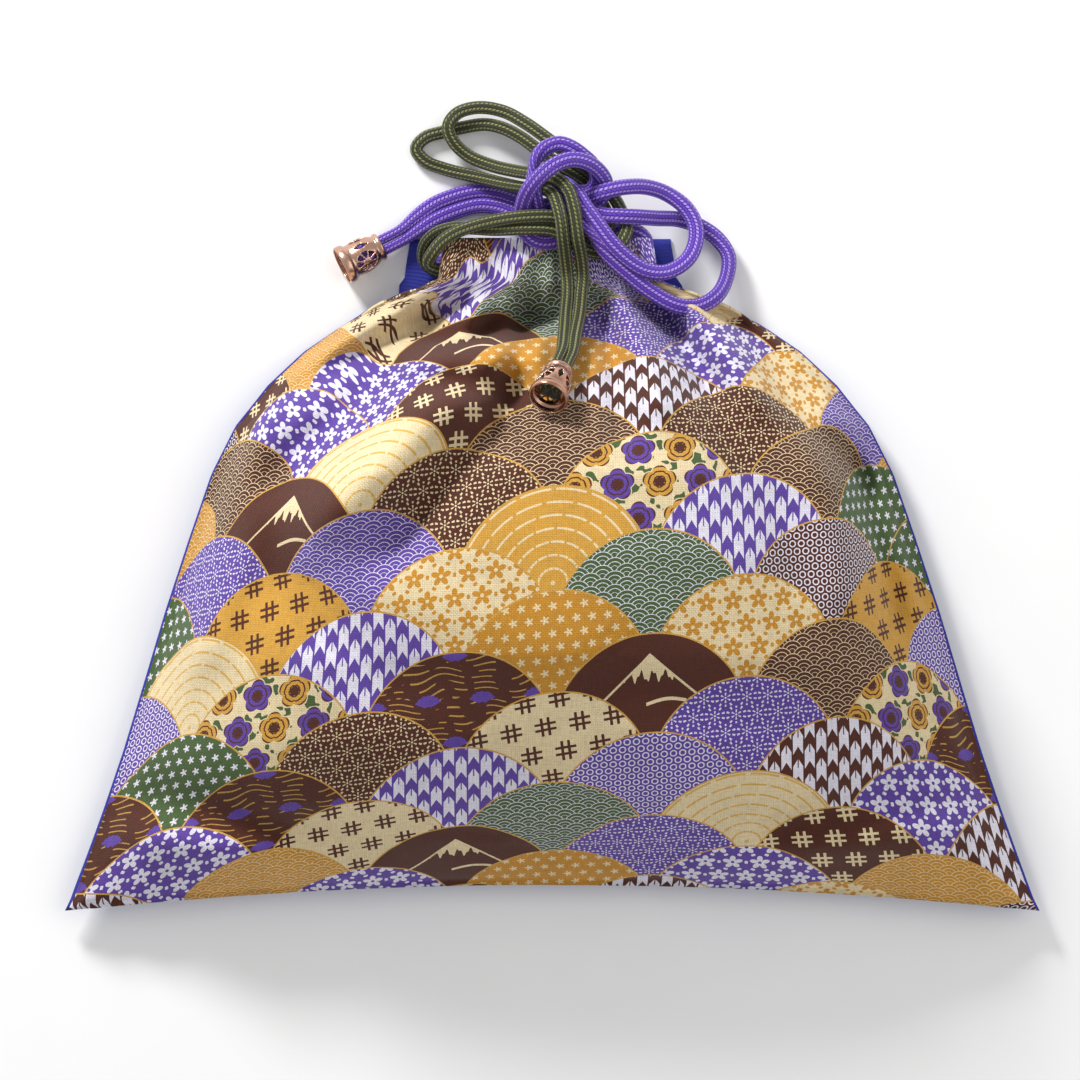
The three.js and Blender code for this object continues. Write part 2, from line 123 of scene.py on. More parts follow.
VIOLET_ROUTE = [
    # tail from the bead to the knot, upper strand
    (-50, 80, 4.8), (-43.5, 83.4, 3.8), (-38.2, 86.2, 3), (-34, 89.6, 2), (-28.6, 93.2, 1.7),
    (-19.1, 96, 1.7), (-13.5, 95.6, 2.6), (-8.1, 93.8, 4.8), (-3, 92.2, 6.2), (3, 92.6, 7.8),
    (6, 92.9, 9.8), (9.5, 94.4, 13.4),
    # back loop of the bow
    (12.4, 95.4, 15.8), (17.1, 96.5, 14.6), (23.3, 96.8, 10.4), (28.6, 95.2, 7.4),
    (33.3, 91.8, 7.2), (35.8, 87.4, 8.4), (35.8, 82.8, 10.4), (33.6, 78.4, 13),
    (28.6, 75.4, 16), (23.3, 75.8, 18), (18.8, 78.6, 19.2), (14.6, 82.8, 20),
    (11.2, 87.4, 19.8), (8, 91.8, 19), (5.4, 95.6, 16.8), (3, 97.4, 15.2), (-0.4, 98.7, 12.4),
    (-2.6, 99, 9.8), (-2.4, 98.8, 7.2), (0.6, 98.2, 5.8), (4, 97, 6.6), (7.4, 95.7, 9.8),
    # inner arch over the knot
    (9.8, 96.2, 11), (11.2, 99, 12.4), (9.8, 102.4, 14.4), (7.4, 104.6, 15.8),
    (4.8, 106.4, 16.6), (1.6, 107.4, 17), (-2.2, 106, 17.6), (-4.6, 102.4, 18), (-5, 98.6, 18),
    (-4.4, 94.6, 17.4), (-3.6, 90.6, 15.8), (-2.4, 87.8, 15), (0.4, 86.4, 14), (3, 86.8, 12.2),
    (5.6, 87.4, 9), (9, 87.8, 6), (13, 87.6, 5), (16.6, 86.8, 4.8),
    # out of the mouth and into the casing, behind the mouth
    (20, 85.4, 4.6), (22.8, 82.6, 3.8), (21.6, 79.8, 2.8), (18.6, 79.2, 2.3), (4, 79.2, 2.3),
    (-10, 79.2, 2.3), (-23.6, 79.2, 2.3), (-26.6, 79.2, 3.4), (-28, 79.2, 6.8),
    (-26.6, 79.2, 10.2),
    # casing, in front of the mouth
    (-23.6, 79.2, 11.3), (-10, 79.2, 11.3), (4, 79.2, 11.3), (18.6, 79.2, 11.3),
    (22.4, 80.2, 9.8), (23.6, 83.2, 8.4), (20.8, 85.8, 8), (16, 85.6, 8), (12, 85.2, 9.4),
    (9, 85.6, 11.2), (6.6, 86, 13), (3.4, 84.4, 15.9), (-0.6, 82.8, 15.6), (-4.2, 83.2, 15.4),
    (-6.9, 85.8, 15.4),
    # outer arch over the knot
    (-7.6, 89.4, 15.8), (-7.3, 92.6, 18), (-5.8, 96, 20.7), (-2.8, 99.4, 21.8),
    (1, 102.2, 21.8), (5, 103.4, 20.2), (9.3, 102.4, 17.8), (12.4, 99.8, 15.2),
    (13.5, 97, 12.6), (12.2, 93.8, 11.4), (9.8, 92, 9.8), (7.4, 92.6, 6.6), (4.6, 94, 4.6),
    (1.8, 95, 4.2), (-0.2, 95.6, 6.6), (0.6, 95.8, 10), (3.2, 94.2, 13.4), (5.8, 90.8, 15.8),
    (8.2, 87.1, 19.1), (10.8, 83.4, 19.1),
    # front loop of the bow
    (13.6, 80, 18.8), (19.2, 74.7, 17.6), (24.9, 70.3, 16.6), (30.7, 67.2, 15.6),
    (36.1, 66.8, 13.4), (41, 69.4, 11), (43.8, 74.7, 6.4), (44.1, 79.8, 4), (41.4, 84, 3),
    (36.8, 87.2, 3), (31.8, 88.8, 4.4), (26, 89, 9.2), (21, 89.2, 14), (17.3, 89.3, 15.6),
    (13.4, 89.5, 14.6), (8.8, 90.6, 12.4), (3, 90, 10.2),
    # tail from the knot to the bead, lower strand
    (-3, 89, 8), (-8.1, 90.2, 5.2), (-13.5, 92, 2.8), (-19.1, 92.4, 1.7), (-28.1, 89.4, 1.9),
    (-33.4, 86.2, 2.6), (-37, 83.8, 3.2), (-42.3, 81, 3.8), (-48.8, 77.6, 4.8),
]

CORD_THICKNESS = 2.5
BORE_WIDTH = 2.6
CORD_SIDES = 18
RING_STEP = 0.8
SPAN_STEPS = 12
SQUARENESS = 0.85
WIDENS_FROM, FULL_WIDTH_FROM = 12, 22


def smooth_line(points):
    """A centripetal line through the points, cut into even steps, with the distance along it."""
    points = np.array(points, float)
    points = np.vstack([2 * points[0] - points[1], points, 2 * points[-1] - points[-2]])
    line = []
    for i in range(1, len(points) - 2):
        p = points[i - 1 : i + 3]
        knots = np.r_[0, np.cumsum(np.linalg.norm(np.diff(p, axis=0), axis=1) ** 0.5)]
        for t in np.linspace(knots[1], knots[2], SPAN_STEPS, endpoint=False):
            level = list(p)
            for size in (1, 2, 3):
                blended = []
                for k in range(len(level) - 1):
                    low, high = (k, k + size) if size < 3 else (1, 2)
                    share = (t - knots[low]) / (knots[high] - knots[low])
                    blended.append(mix(level[k], level[k + 1], share))
                level = blended
            line.append(level[0])
    line.append(points[-2])
    line = np.array(line)
    along = np.r_[0, np.cumsum(np.linalg.norm(np.diff(line, axis=0), axis=1))]
    even = np.linspace(0, along[-1], int(along[-1] / RING_STEP) + 1)
    return np.stack([np.interp(even, along, line[:, k]) for k in range(3)], 1), even


def ring_frames(line):
    """The side and the upper direction of a flat cord at each point of its line."""
    tangents = np.gradient(line, axis=0)
    tangents /= np.linalg.norm(tangents, axis=1)[:, None]
    normal = Vector((0, 0, 1))
    frames = []
    for tangent in map(Vector, tangents):
        pull = 0.2 * (1 - abs(tangent.z)) ** 2
        normal = normal.lerp(Vector((0, 0, 1)), pull)
        normal = (normal - tangent * normal.dot(tangent)).normalized()
        frames.append((tangent.cross(normal), normal.copy()))
    return frames


def squared(share):
    """Pushes a circle's share out towards a flat strip's."""
    return math.copysign(abs(share) ** SQUARENESS, share)


def make_cord(name, route, full_width):
    """One whole cord as a flattened tube. Its UV map turns once round it, and runs in metres."""
    line, along = smooth_line(route)
    total = along[-1]
    from_end = np.minimum(along, total - along)
    widths = mix(BORE_WIDTH, full_width, ease(from_end, WIDENS_FROM, FULL_WIDTH_FROM))
    bm = bmesh.new()
    rings = []
    for centre, (side, up), width in zip(line, ring_frames(line), widths):
        ring = bmesh.ops.create_circle(bm, segments=CORD_SIDES, radius=1)["verts"]
        for vert in ring:
            across = squared(vert.co.x) * width / 2
            rise = squared(vert.co.y) * CORD_THICKNESS / 2
            vert.co = (Vector(centre) + side * across + up * rise) * MM
        rings.append(ring)
    uv = bm.loops.layers.uv.new("braid")
    for i in range(len(rings) - 1):
        for k in range(CORD_SIDES):
            n = (k + 1) % CORD_SIDES
            face = bm.faces.new((rings[i][k], rings[i][n], rings[i + 1][n], rings[i + 1][k]))
            corners = ((k, i), (k + 1, i), (k + 1, i + 1), (k, i + 1))
            for loop, (turn, ring) in zip(face.loops, corners):
                loop[uv].uv = (turn / CORD_SIDES, along[ring] * MM)
    bm.faces.new(rings[0])
    bm.faces.new(rings[-1])
    bmesh.ops.recalc_face_normals(bm, faces=bm.faces)
    piece = add_mesh(name, bm)
    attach(piece, "pouch")
    full_width * MM
    return piece


# ---------------------------------------------------------------- node graphs


class Number:
    """A number in a node tree. Sums and comparisons of numbers add the nodes that work them out."""

    def __init__(self, tree, socket):
        self.tree = tree
        self.socket = socket

    def node(self, operation, *others):
        node = self.tree.nodes.new("ShaderNodeMath")
        node.operation = operation
        for slot, value in zip(node.inputs, (self, *others)):
            plug(self.tree, value, slot)
        return Number(self.tree, node.outputs[0])

    def __add__(self, other):
        return self.node("ADD", other)

    def __sub__(self, other):
        return self.node("SUBTRACT", other)

    def __mul__(self, other):
        return self.node("MULTIPLY", other)

    def __truediv__(self, other):
        return self.node("DIVIDE", other)

    def __lt__(self, other):
        return self.node("LESS_THAN", other)

    def __gt__(self, other):
        return self.node("GREATER_THAN", other)

    def __neg__(self):
        return self.node("MULTIPLY", -1)

    def abs(self):
        return self.node("ABSOLUTE")

    def floor(self):
        return self.node("FLOOR")

    def fract(self):
        return self.node("FRACT")

    def round(self):
        return self.node("ROUND")

    def cos(self):
        return self.node("COSINE")

    def sin(self):
        return self.node("SINE")

    def max(self, other):
        return self.node("MAXIMUM", other)

    def min(self, other):
        return self.node("MINIMUM", other)

    def mod(self, other):
        return self.node("FLOORED_MODULO", other)

    def angle(self, other):
        return self.node("ARCTAN2", other)

    def length(self, other):
        return (self * self + other * other).node("SQRT")

    def pick(self, low, high):
        """low where this is 0, high where it is 1."""
        return self * high + (-self + 1) * low


def plug(tree, value, slot):
    if isinstance(value, Number):
        tree.links.new(value.socket, slot)
    elif isinstance(value, bpy.types.NodeSocket):
        tree.links.new(value, slot)
    else:
        slot.default_value = value


def new_group(name, inputs, outputs):
    """A node group whose number inputs have the given first values."""
    tree = bpy.data.node_groups.new(name, "ShaderNodeTree")
    for label, value in inputs.items():
        kind = "NodeSocketVector" if value is None else "NodeSocketFloat"
        socket = tree.interface.new_socket(label, in_out="INPUT", socket_type=kind)
        if value is not None:
            socket.default_value = value
    for label, kind in outputs.items():
        tree.interface.new_socket(label, in_out="OUTPUT", socket_type=f"NodeSocket{kind}")
    entry = tree.nodes.new("NodeGroupInput")
    exits = tree.nodes.new("NodeGroupOutput")
    given = {label: Number(tree, entry.outputs[label]) for label in inputs}
    return tree, given, exits


def place(tree, group, **values):
    """Places a node group and returns its outputs as numbers, by name."""
    node = tree.nodes.new("ShaderNodeGroup")
    node.node_tree = group
    for label, value in values.items():
        plug(tree, value, node.inputs[label])
    return {out.name: Number(tree, out) for out in node.outputs}


def split(tree, vector):
    node = tree.nodes.new("ShaderNodeSeparateXYZ")
    plug(tree, vector, node.inputs[0])
    return [Number(tree, out) for out in node.outputs]


def join(tree, *parts):
    node = tree.nodes.new("ShaderNodeCombineXYZ")
    for part, slot in zip(parts, node.inputs):
        plug(tree, part, slot)
    return node.outputs[0]


def noise(tree, vector, scale, detail=2.0):
    node = tree.nodes.new("ShaderNodeTexNoise")
    plug(tree, vector, node.inputs["Vector"])
    node.inputs["Scale"].default_value = scale
    node.inputs["Detail"].default_value = detail
    return Number(tree, node.outputs["Fac"])


def blend_colours(tree, share, low, high, kind="MIX"):
    node = tree.nodes.new("ShaderNodeMix")
    node.data_type = "RGBA"
    node.blend_type = kind
    plug(tree, share, node.inputs["Factor"])
    plug(tree, low, node.inputs["A"])
    plug(tree, high, node.inputs["B"])
    return node.outputs["Result"]


def steps(tree, share, colours):
    """Picks one of the colours by a share from 0 to 1, with hard changes."""
    node = tree.nodes.new("ShaderNodeValToRGB")
    ramp = node.color_ramp
    ramp.interpolation = "CONSTANT"
    while len(ramp.elements) < len(colours):
        ramp.elements.new(1.0)
    for index, colour in enumerate(colours):
        ramp.elements[index].position = index / len(colours)
        ramp.elements[index].color = colour
    plug(tree, share, node.inputs["Fac"])
    return node.outputs["Color"]


def paint(red, green, blue):
    """A screen colour from 0 to 255 as light."""
    shares = [(value / 255 + 0.055) / 1.055 for value in (red, green, blue)]
    return (*[max(share, 0.001) ** 2.4 for share in shares], 1.0)


def new_material(name):
    material = bpy.data.materials.new(name)
    material.use_nodes = True
    tree = material.node_tree
    return material, tree, tree.nodes["Principled BSDF"]


def bump(tree, height, strength, distance, slot):
    node = tree.nodes.new("ShaderNodeBump")
    node.inputs["Strength"].default_value = strength
    node.inputs["Distance"].default_value = distance
    plug(tree, height, node.inputs["Height"])
    tree.links.new(node.outputs["Normal"], slot)


# ---------------------------------------------------------------- shared effects


def weave_group():
    """A plain weave: threads over and under, with slubs. Flat is in metres."""
    tree, given, out = new_group(
        "plain_weave", {"Flat": None, "Pitch": 0.4}, {"Height": "Float", "Slub": "Float"}
    )
    x, y, _ = split(tree, given["Flat"])
    warp = x * 1000 / given["Pitch"]
    weft = y * 1000 / given["Pitch"]
    over = (warp.floor() + weft.floor()).mod(2)
    across = (warp * math.pi).sin().abs()
    along = (weft * math.pi).sin().abs()
    plug(tree, over.pick(across, along), out.inputs["Height"])
    stretched = join(tree, x * 0.12, y, 0.0)
    fine = noise(tree, stretched, 2600, 3)
    upright = noise(tree, join(tree, x, y * 0.12, 0.0), 2600, 3)
    plug(tree, (fine + upright) / 2, out.inputs["Slub"])
    return tree


def wear_group():
    """Soft patches where a surface is handled."""
    tree, given, out = new_group("handling", {"Place": None}, {"Patches": "Float"})
    patches = noise(tree, given["Place"].socket, 60, 4)
    plug(tree, patches, out.inputs["Patches"])
    return tree


SCALE_PITCH = 48.4
SCALE_RISE = 13.0
SCALE_RADIUS = 24.4
LATTICE_ROW = 0.87


def scales_group():
    """Overlapping round scales, lower rows over upper ones. X and Y in millimetres."""
    tree, given, out = new_group(
        "scales",
        {"X": 0.0, "Y": 0.0, "Pitch": SCALE_PITCH, "Rise": SCALE_RISE, "Radius": SCALE_RADIUS},
        {"Side": "Float", "Up": "Float", "Far": "Float", "Column": "Float", "Row": "Float"},
    )
    x, y, radius = given["X"], given["Y"], given["Radius"]
    first = (y / given["Rise"]).floor()
    found = None
    for step in (1, 0, -1):
        row = first + step
        shift = row.mod(2) / 2
        column = (x / given["Pitch"] - shift).round() + shift
        side = x - column * given["Pitch"]
        up = y - row * given["Rise"]
        far = side.length(up)
        values = (side, up, far, column * 2, row)
        if found is None:
            found = values
            continue
        inside = far < radius
        found = tuple(inside.pick(old, new) for old, new in zip(found, values))
    for label, value in zip(("Side", "Up", "Far", "Column", "Row"), found):
        plug(tree, value, out.inputs[label])
    return tree


def lattice_group():
    """Staggered cells: where a point lies in its cell, from -0.5 to 0.5, and the cell's parity."""
    tree, given, out = new_group(
        "lattice",
        {"X": 0.0, "Y": 0.0, "Pitch": 6.0},
        {"Side": "Float", "Up": "Float", "Far": "Float", "Turn": "Float", "Odd": "Float"},
    )
    up = given["Y"] / (given["Pitch"] * LATTICE_ROW)
    row = up.round()
    side = given["X"] / given["Pitch"] - row.mod(2) / 2
    column = side.round()
    side = side - column
    up = (up - row) * LATTICE_ROW
    plug(tree, side, out.inputs["Side"])
    plug(tree, up, out.inputs["Up"])
    plug(tree, side.length(up), out.inputs["Far"])
    plug(tree, side.angle(up), out.inputs["Turn"])
    plug(tree, (column + row).mod(2), out.inputs["Odd"])
    return tree


WEAVE = weave_group()
HANDLING = wear_group()
SCALES = scales_group()
LATTICE = lattice_group()


# ---------------------------------------------------------------- printed cotton

PURPLE = paint(94, 66, 156)
BROWN = paint(80, 38, 24)
MUSTARD = paint(206, 154, 62)
OCHRE = paint(196, 138, 44)
CREAM = paint(226, 206, 164)
GREEN = paint(72, 94, 52)
WHITE = paint(226, 222, 234)
GOLD = paint(212, 168, 84)
PALETTE = (PURPLE, BROWN, MUSTARD, OCHRE, CREAM, GREEN, WHITE, GOLD)

ARROWS, ARCS, WAVES, RINGS, BLOSSOMS, STARS, HASHES, HILL, FANS, BURSTS, PEONIES = range(11)

# What each kind of scale carries: its motif, its ground and its ink.
STYLES = {
    "pa": (ARROWS, PURPLE, WHITE),
    "ba": (ARROWS, BROWN, WHITE),
    "mr": (ARCS, MUSTARD, CREAM),
    "cr": (ARCS, CREAM, GOLD),
    "gw": (WAVES, GREEN, WHITE),
    "pw": (WAVES, PURPLE, WHITE),
    "bw": (WAVES, BROWN, CREAM),
    "mw": (WAVES, OCHRE, CREAM),
    "br": (RINGS, BROWN, WHITE),
    "pr": (RINGS, PURPLE, WHITE),
    "cb": (BLOSSOMS, CREAM, OCHRE),
    "pb": (BLOSSOMS, PURPLE, WHITE),
    "os": (STARS, OCHRE, CREAM),
    "gs": (STARS, GREEN, WHITE),
    "mh": (HASHES, MUSTARD, BROWN),
    "ch": (HASHES, CREAM, BROWN),
    "bh": (HASHES, BROWN, CREAM),
    "hi": (HILL, BROWN, CREAM),
    "bf": (FANS, BROWN, PURPLE),
    "pc": (BURSTS, PURPLE, WHITE),
    "bc": (BURSTS, BROWN, CREAM),
    "pe": (PEONIES, CREAM, PURPLE),
}

# How the kinds repeat over the cloth: five scales across, twelve rows up from the hem.
REPEAT = (
    "bh pb os pb mw",
    "ba mw hi pc bh",
    "pb ch gw cr pb",
    "bf bf pa pr ba",
    "gs bc ch pc pe",
    "pr pe bf hi bw",
    "cr pa os cb mh",
    "gs mh cb gw br",
    "pc pw mr pa gs",
    "mw hi bc pe bw",
    "bw cr bw bc pw",
    "br pb bh ba cb",
)


REPEAT_ACROSS = 5
HALF_REPEAT = 6
MOTIF_STEPS = 16
OUTLINE = 0.42


def style_ramp(tree, share, rows):
    """Codes of motif, ground and ink, one for each scale of the given rows."""
    coded = []
    for kind in " ".join(rows).split():
        motif, ground, ink = STYLES[kind]
        grounds = (PALETTE.index(ground) + 0.5) / len(PALETTE)
        inks = (PALETTE.index(ink) + 0.5) / len(PALETTE)
        coded.append(((motif + 0.5) / MOTIF_STEPS, grounds, inks, 1.0))
    return steps(tree, share, coded)


def arrows_motif(x, y):
    """Upright bands of arrow feathers."""
    band = x / 3.1
    across = (band.fract() - 0.5).abs()
    height = y / 8.5 + band.floor().mod(2) / 2
    slanted = height + across * 0.62
    shaft = ((across > 0.05) + (slanted.fract() < 0.3)).min(1)
    return (slanted.fract() < 0.6) * (across < 0.43) * shaft


def arcs_motif(side, up, far):
    """Broken rings round the foot of the scale."""
    ring = far / 3.3
    dash = (side.angle(up) * 2.6 + ring.floor() * 1.7).fract()
    return (ring.fract() < 0.17) * (dash < 0.86)


def waves_motif(tree, x, y):
    """The scales again, small, each with three arcs."""
    small = place(tree, SCALES, X=x, Y=y, Pitch=6.0, Rise=1.65, Radius=3.05)
    return ((small["Far"] / 1.02).fract() > 0.81) * (small["Far"] > 0.9)


def rings_motif(tree, x, y):
    cell = place(tree, LATTICE, X=x, Y=y, Pitch=2.3)
    return (cell["Far"] < 0.4) * (cell["Far"] > 0.26)


def blossoms_motif(tree, x, y):
    cell = place(tree, LATTICE, X=x, Y=y, Pitch=6.8)
    petals = (cell["Turn"] * 2.5).cos().abs() * 0.24 + 0.14
    flower = (cell["Far"] < petals) * (cell["Far"] > 0.07)
    dots = place(tree, LATTICE, X=x + 3.4, Y=y, Pitch=3.4)
    return flower.max((dots["Far"] < 0.17) * (cell["Far"] > 0.44))


def stars_motif(tree, x, y):
    cell = place(tree, LATTICE, X=x, Y=y, Pitch=3.9)
    return cell["Far"] < (cell["Turn"] * 5 + 1.5).cos() * 0.09 + 0.2


def hashes_motif(tree, x, y):
    """Crossed pairs of short bars."""
    cell = place(tree, LATTICE, X=x + y * 0.12, Y=y - x * 0.12, Pitch=8.6)
    side, up = cell["Side"].abs(), cell["Up"].abs()
    upright = ((side - 0.1).abs() < 0.042) * (up < 0.31)
    level = ((up - 0.1).abs() < 0.042) * (side < 0.31)
    return upright.max(level)


def hill_motif(side, up):
    """A plain peak with a jagged pale top and one drifting band."""
    slope = up + side.abs() * 0.95
    jag = (side * 2.1).sin() * 1.3 + (side * 5.3).sin() * 0.5
    cap = (slope < 19) * (up > jag + 13.2)
    rim = (slope < 19) * (slope > 18.2) * (up > 3)
    band = ((up - (side * 0.35).sin() * 0.8 - 6).abs() < 0.45) * ((side - 4).abs() < 5)
    return cap.max(rim).max(band)


def fans_motif(tree, x, y):
    cell = place(tree, LATTICE, X=x, Y=y, Pitch=13.5)
    rise = cell["Up"] + 0.16
    far = cell["Side"].length(rise)
    turn = cell["Side"].angle(rise)
    return (far < (turn * 9).cos().abs() * 0.02 + 0.25) * (turn.abs() < 1.1) * (far > 0.05)


def streams(x, y):
    """Fine lines of running water."""
    wave = (x * 0.55).sin() * 0.5 + (x * 0.23 + y * 0.3).sin() * 0.9
    return ((y + wave) / 1.9).fract() < 0.2


def bursts_motif(tree, x, y):
    """Many-petalled heads, drawn in short strokes round a centre."""
    cell = place(tree, LATTICE, X=x, Y=y, Pitch=5.4)
    far = cell["Far"]
    inner = ((cell["Turn"] * 6).cos() > 0.5) * (far > 0.1) * (far < 0.25)
    outer = ((cell["Turn"] * 10).cos() > 0.5) * (far > 0.34) * (far < 0.48)
    return inner.max(outer).max(far < 0.05)


def peonies_motif(tree, x, y):
    """Large flowers: how far out in the petals, which of two colours, and the turn."""
    cell = place(tree, LATTICE, X=x + 3, Y=y - 1, Pitch=10.5)
    edge = (cell["Turn"] * 2.5).cos().abs() * 0.1 + 0.32
    return cell["Far"] / edge, cell["Odd"], cell["Turn"]


def print_colours(tree, flat):
    """The colour and the gold mask of the print."""
    x, y, _ = split(tree, flat)
    x = x * 1000
    y = y * 1000 - x * 0.1 + 2.2
    scale = place(tree, SCALES, X=x, Y=y)
    side, up, far = scale["Side"], scale["Up"], scale["Far"]
    column = ((scale["Column"] + 5) / 2).floor().mod(REPEAT_ACROSS)
    row = (scale["Row"] + 8).mod(len(REPEAT))
    share = (row.mod(HALF_REPEAT) * REPEAT_ACROSS + column + 0.5) / (HALF_REPEAT * REPEAT_ACROSS)
    low = style_ramp(tree, share, REPEAT[:HALF_REPEAT])
    high = style_ramp(tree, share, REPEAT[HALF_REPEAT:])
    codes = blend_colours(tree, row > HALF_REPEAT - 0.5, low, high)
    motif, ground, ink = split(tree, codes)
    motif = (motif * MOTIF_STEPS).floor()
    ground_colour = steps(tree, ground, PALETTE)
    ink_colour = steps(tree, ink, PALETTE)
    petal, petal_kind, turn = peonies_motif(tree, side, up)
    masks = {
        ARROWS: arrows_motif(side, up),
        ARCS: arcs_motif(side, up, far),
        WAVES: waves_motif(tree, side, up),
        RINGS: rings_motif(tree, side, up),
        BLOSSOMS: blossoms_motif(tree, side, up),
        STARS: stars_motif(tree, side, up),
        HASHES: hashes_motif(tree, side, up),
        HILL: hill_motif(side, up),
        FANS: fans_motif(tree, side, up),
        BURSTS: bursts_motif(tree, side, up),
        PEONIES: petal < 1,
    }
    chosen = None
    for kind, mask in masks.items():
        part = ((motif - kind).abs() < 0.5) * mask
        chosen = part if chosen is None else chosen + part
    colour = blend_colours(tree, chosen, ground_colour, ink_colour)
    is_peony = (motif - PEONIES).abs() < 0.5
    flower = steps(tree, petal_kind * 0.5 + 0.25, (PURPLE, MUSTARD))
    colour = blend_colours(tree, is_peony * (petal < 1), colour, flower)
    folds = ((petal * 3.2 + (turn * 5).cos() * 0.2).fract() < 0.3) * (petal < 1)
    heart = petal < 0.34
    colour = blend_colours(tree, is_peony * folds.max(heart), colour, BROWN)
    leaves = (noise(tree, join(tree, side, up, 0.0), 0.28, 1) > 0.56) * (petal > 1.08)
    colour = blend_colours(tree, is_peony * leaves, colour, GREEN)
    water = streams(side, up) * ((motif - FANS).abs() < 0.5) * (-chosen + 1)
    water = water * (noise(tree, join(tree, side, up, 0.0), 0.2, 1) > 0.48)
    outline = (-far + SCALE_RADIUS) < OUTLINE
    gold = outline.max(water * 0.8)
    colour = blend_colours(tree, gold, colour, GOLD)
    return colour, gold


def uv_map(tree, name):
    node = tree.nodes.new("ShaderNodeUVMap")
    node.uv_map = name
    return node.outputs[0]


def cloth_surface(tree, shader, flat, colour, tone):
    """Painted shade between the weave's threads, slubs and handling on a cloth's colour, and its
    threads as relief.
    """
    weave = place(tree, WEAVE, Flat=flat, Pitch=0.46)
    place_of = tree.nodes.new("ShaderNodeTexCoord").outputs["Object"]
    patches = place(tree, HANDLING, Place=place_of)["Patches"]
    # Painted shade: the colour darkens where the weave is low, between its threads; the slubs and
    # handling patches add tone that differs at random.
    threads = (weave["Height"] - 0.6) * 0.22 + (weave["Slub"] - 0.5) * 0.9
    light = threads + (patches - 0.5) * 0.25
    painted_shade_and_tone = join(tree, light + tone, light + tone, light + tone)
    toned = blend_colours(tree, 1.0, colour, painted_shade_and_tone, "MULTIPLY")
    plug(tree, toned, shader.inputs["Base Color"])
    plug(tree, (patches - 0.5) * 0.15 + 0.82, shader.inputs["Roughness"])
    relief = weave["Height"] + (weave["Slub"] - 0.5) * 1.6
    bump(tree, relief, 0.5, 0.00014, shader.inputs["Normal"])


def print_material():
    material, tree, shader = new_material("print_cotton")
    flat = uv_map(tree, "flat")
    colour, gold = print_colours(tree, flat)
    cloth_surface(tree, shader, flat, colour, 0.92)
    plug(tree, gold * 0.45, shader.inputs["Metallic"])
    shader.inputs["Sheen Weight"].default_value = 0.12
    shader.inputs["Specular IOR Level"].default_value = 0.3
    return material


def plain_material():
    material, tree, shader = new_material("blue_cotton")
    flat = uv_map(tree, "flat")
    cloth_surface(tree, shader, flat, paint(52, 58, 158), 1.0)
    shader.inputs["Sheen Weight"].default_value = 0.15
    shader.inputs["Specular IOR Level"].default_value = 0.3
    return material


# ---------------------------------------------------------------- braid and metal


def braid_group():
    """A round braid laid flat: rows of leaning stitches. Wrap holds turns and metres."""
    tree, given, out = new_group(
        "braid", {"Wrap": None}, {"Height": "Float", "Fleck": "Float", "Thread": "Float"}
    )
    turn, along, _ = split(tree, given["Wrap"])
    rows = turn * 16
    row = rows.floor()
    across = rows.fract() - 0.5
    lean = row.mod(2).pick(-0.6, 0.6)
    stitch = along * 1000 / 1.05 + across * lean + row.mod(2) * 0.5
    inside = stitch.fract() - 0.5
    body = (-(across.abs() * 2).max(inside.abs() * 2) + 1).max(0)
    threads = ((across * lean * 5 + inside * 5) * math.pi).sin().abs()
    fleck = (body > 0.34) * (row.mod(2) < 0.5)
    plug(tree, (body * 2.4).min(1) + threads * 0.12, out.inputs["Height"])
    plug(tree, fleck, out.inputs["Fleck"])
    plug(tree, threads, out.inputs["Thread"])
    return tree


BRAID = braid_group()


def nylon_material(name, ground, fleck):
    material, tree, shader = new_material(name)
    parts = place(tree, BRAID, Wrap=uv_map(tree, "braid"))
    # Painted shade: the ground falls to 0.3 of itself in the gaps between stitches, where the
    # braid's height is low.
    dark = blend_colours(tree, 1.0, ground, (0.3, 0.3, 0.3, 1.0), "MULTIPLY")
    colour = blend_colours(tree, (parts["Height"] * 0.9 + 0.05).min(1), dark, ground)
    colour = blend_colours(tree, parts["Fleck"] * (parts["Thread"] * 0.5 + 0.4), colour, fleck)
    place_of = tree.nodes.new("ShaderNodeTexCoord").outputs["Object"]
    patches = place(tree, HANDLING, Place=place_of)["Patches"]
    plug(tree, colour, shader.inputs["Base Color"])
    plug(tree, (patches - 0.5) * 0.2 + 0.46, shader.inputs["Roughness"])
    bump(tree, parts["Height"], 0.8, 0.0002, shader.inputs["Normal"])
    shader.inputs["Sheen Weight"].default_value = 0.1
    return material


def metal_material():
    material, tree, shader = new_material("rose_gold")
    place_of = tree.nodes.new("ShaderNodeTexCoord").outputs["Object"]
    patches = place(tree, HANDLING, Place=place_of)["Patches"]
    grain = noise(tree, place_of, 1800, 3)
    bright, dark = paint(236, 200, 180), paint(186, 142, 120)
    colour = blend_colours(tree, ((patches - 0.4) * 2.5).max(0).min(1), dark, bright)
    plug(tree, colour, shader.inputs["Base Color"])
    plug(tree, (grain - 0.5) * 0.2 + 0.24, shader.inputs["Roughness"])
    shader.inputs["Metallic"].default_value = 1.0
    bump(tree, grain, 0.1, 0.0001, shader.inputs["Normal"])
    return material


# ---------------------------------------------------------------- cloth

